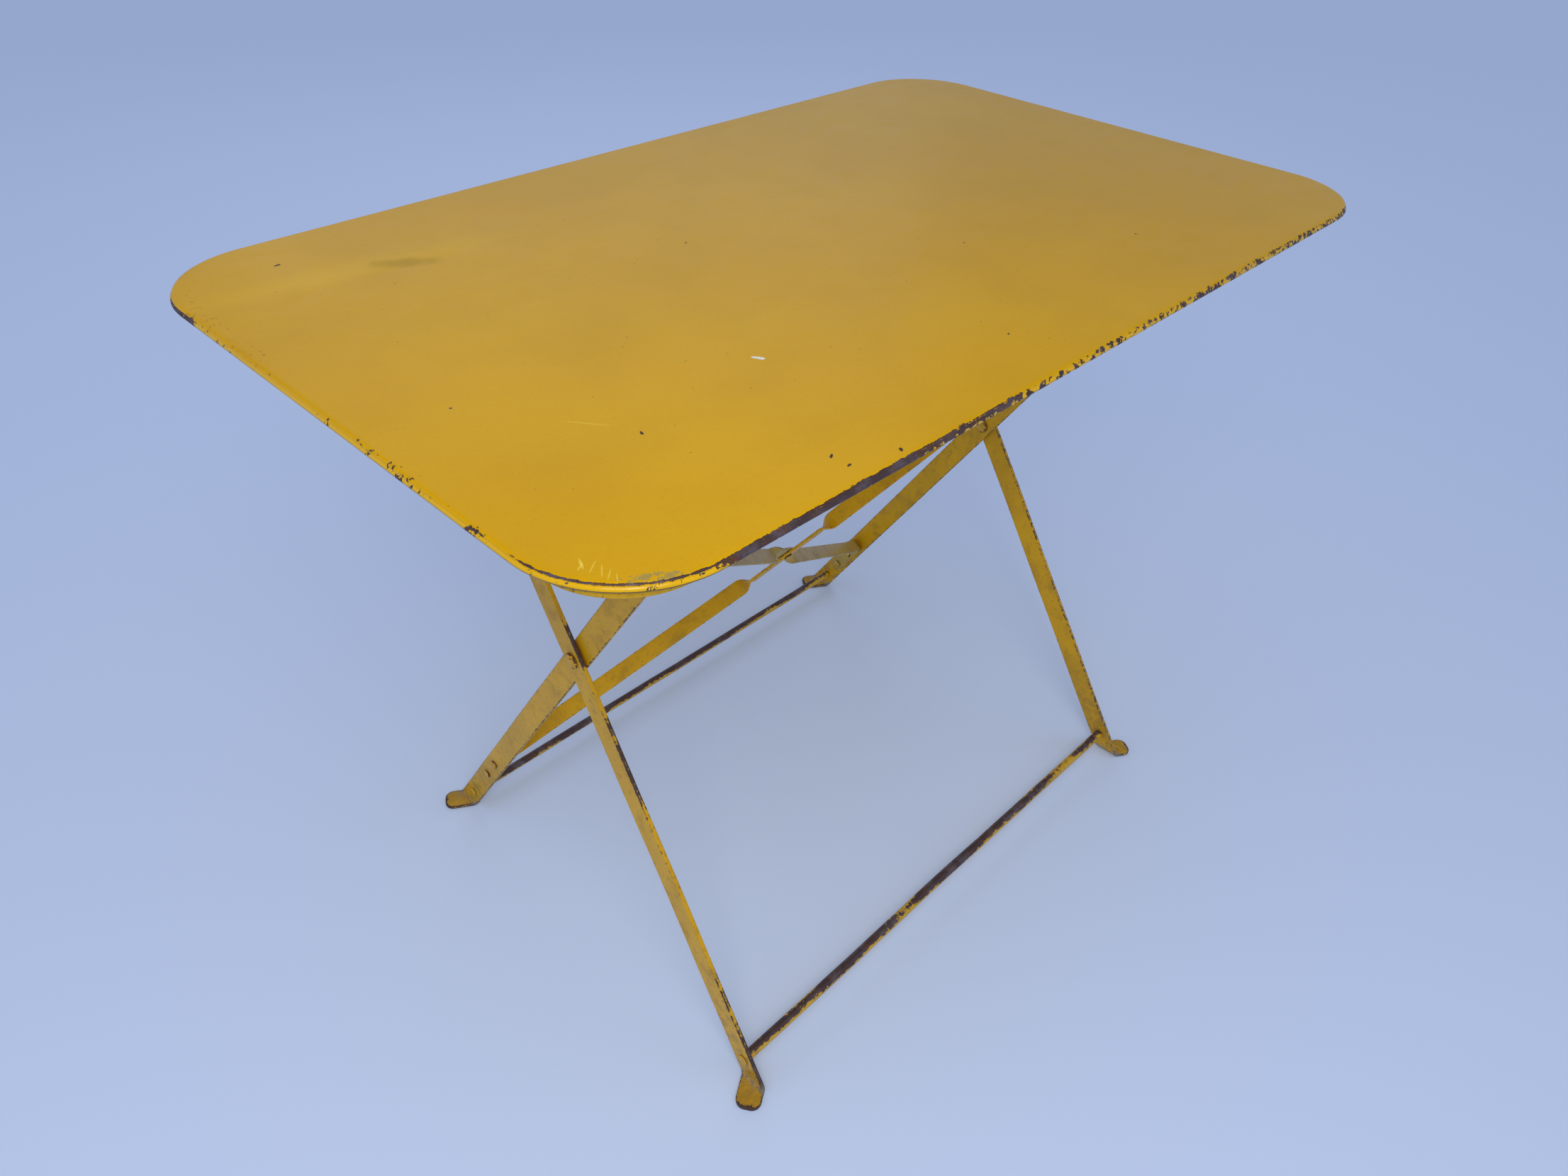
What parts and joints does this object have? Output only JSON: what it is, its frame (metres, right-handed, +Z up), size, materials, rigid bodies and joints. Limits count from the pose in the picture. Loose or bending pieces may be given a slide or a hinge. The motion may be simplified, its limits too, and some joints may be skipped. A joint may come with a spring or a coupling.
{
  "type": "folding table",
  "caption": "Folding metal garden table with a rounded rectangular sheet top, crossed flat-bar legs at each end, low foot rods and a twisted two-bar brace.",
  "frame": {"origin": "on the floor, below the middle of the top", "axes": "+X along the long side of the top, +Y across it towards the hinge side, +Z up"},
  "size_m": [1, 0.61, 0.732],
  "materials": {
    "top_paint": "satin golden yellow enamel, worn to steel along the edge",
    "leg_paint": "aged ochre yellow enamel, chipped on the arrises",
    "underside_paint": "dull yellow enamel",
    "worn_steel": "bare steel worn dark",
    "rivet_steel": "rusted mild steel"
  },
  "bodies": {
    "outer_frame": {"crossing_rivet_left": "rivet_steel", "crossing_rivet_right": "rivet_steel", "crossing_washer_left": "worn_steel", "crossing_washer_right": "worn_steel", "hinge_pin_left": "rivet_steel", "hinge_pin_right": "rivet_steel", "outer_foot_rod": "worn_steel", "outer_leg_left": "leg_paint", "outer_leg_right": "leg_paint"},
    "inner_frame": {"brace_1": "leg_paint", "brace_1_high_rivet_a": "rivet_steel", "brace_1_high_rivet_b": "rivet_steel", "brace_1_low_rivet_a": "rivet_steel", "brace_1_low_rivet_b": "rivet_steel", "brace_2": "leg_paint", "brace_2_high_rivet_a": "rivet_steel", "brace_2_high_rivet_b": "rivet_steel", "brace_2_low_rivet_a": "rivet_steel", "brace_2_low_rivet_b": "rivet_steel", "brace_centre_rivet": "rivet_steel", "inner_foot_rod": "leg_paint", "inner_leg_left": "leg_paint", "inner_leg_right": "leg_paint", "inner_top_rod": "worn_steel"},
    "top": {"batten_left": "underside_paint", "batten_right": "underside_paint", "catch_rivet_left": "rivet_steel", "catch_rivet_right": "rivet_steel", "hinge_bracket_left": "underside_paint", "hinge_bracket_right": "underside_paint", "hinge_rivet_a_left": "rivet_steel", "hinge_rivet_a_right": "rivet_steel", "hinge_rivet_b_left": "rivet_steel", "hinge_rivet_b_right": "rivet_steel", "rim_hoop": "underside_paint", "rod_catch_left": "underside_paint", "rod_catch_right": "underside_paint", "top_sheet": "top_paint"}
  },
  "joints": [
    {"name": "top_tilt", "type": "hinge", "parent": "outer_frame", "child": "top", "pos_m": [0, 0.1969, 0.704], "axis": [-1, 0, 0], "range_deg": [0, 90]},
    {"name": "leg_scissor", "type": "hinge", "parent": "outer_frame", "child": "inner_frame", "pos_m": [0, 0, 0.40272], "axis": [-1, 0, 0], "range_deg": [0, 61.5]}
  ],
  "couplings": [
    {"joint": "leg_scissor", "follows": "top_tilt", "ratio": 0.683}
  ]
}
